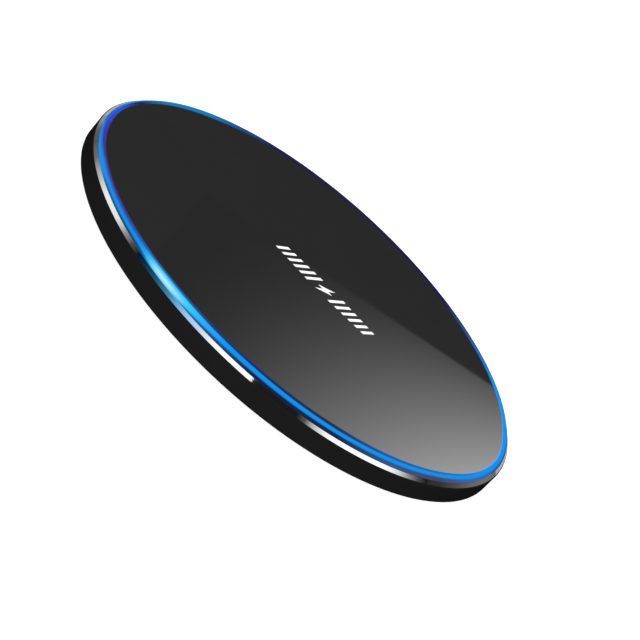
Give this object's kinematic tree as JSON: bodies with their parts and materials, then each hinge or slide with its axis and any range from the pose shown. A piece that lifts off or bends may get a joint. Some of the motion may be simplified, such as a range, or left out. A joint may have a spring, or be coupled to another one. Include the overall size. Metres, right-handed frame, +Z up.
{
  "type": "wireless charging pad",
  "caption": "Low round desk pad that charges a phone by induction: gloss panel in a metal bezel, glowing blue border and a micro-USB inlet in the rim.",
  "frame": {"origin": "centre of the pad's footprint, on the surface it stands on", "axes": "+Z up through the charging face, +X along the printed mark's reading direction, +Y from the centre towards the micro-USB inlet"},
  "size_m": [0.1, 0.1, 0.0065],
  "materials": {
    "panel": "clear, high gloss, black-backed in the middle",
    "black_ink": "opaque printed film",
    "bezel": "matte black anodised wall, diamond-cut bright chamfer",
    "light_guide": "milky acrylic, lit blue",
    "reflector": "white film",
    "case": "fine moulded texture",
    "carrier": "moulded",
    "silicone": "matte, soft",
    "tape": "translucent adhesive tissue",
    "label": "blank satin film",
    "copper": "enamelled litz strands",
    "ferrite": "sintered, dull",
    "foam": "closed-cell foam",
    "thermal": "gap filler, matte",
    "board": "green solder mask",
    "gold": "thin gold plate",
    "solder": "bright tin",
    "chip_body": "black moulding compound",
    "ceramic": "sintered ceramic, tinned ends",
    "resistor": "glazed, tinned ends",
    "inductor": "pressed iron powder",
    "metal_can": "nickel-plated lid",
    "bead": "dipped epoxy",
    "led_housing": "white moulding",
    "led_window": "clear resin, lit blue",
    "steel": "tin-plated",
    "screw": "black zinc",
    "insulator": "glass-filled moulding"
  },
  "bodies": {
    "root": {"top_panel": "panel", "panel_print": "black_ink", "panel_adhesive": "tape", "bezel_ring": "bezel", "bezel_tape": "tape", "light_guide": "light_guide", "guide_reflector": "reflector", "carrier_plate": "carrier", "bottom_cover": "case", "cover_screws": "screw", "foot_ring": "silicone", "foot_tape": "tape", "rating_label": "label", "foam_pad": "foam", "coil_winding": "copper", "coil_leads": "solder", "coil_tape": "tape", "ferrite_disc": "ferrite", "ferrite_tape": "tape", "thermistor_bead": "bead", "thermistor_leads": "solder", "thermal_pad": "thermal", "main_board": "board", "board_pads": "gold", "solder_joints": "solder", "controller_chip": "chip_body", "controller_pins": "solder", "mosfets": "chip_body", "resonant_capacitors": "ceramic", "bulk_capacitors": "ceramic", "chip_capacitors": "ceramic", "chip_resistors": "resistor", "current_shunt": "resistor", "power_inductor": "inductor", "crystal": "metal_can", "regulator": "chip_body", "protection_diode": "chip_body", "led_bodies": "led_housing", "led_windows": "led_window", "usb_shell": "steel", "usb_insulator": "insulator", "usb_contacts": "gold"}
  },
  "joints": []
}
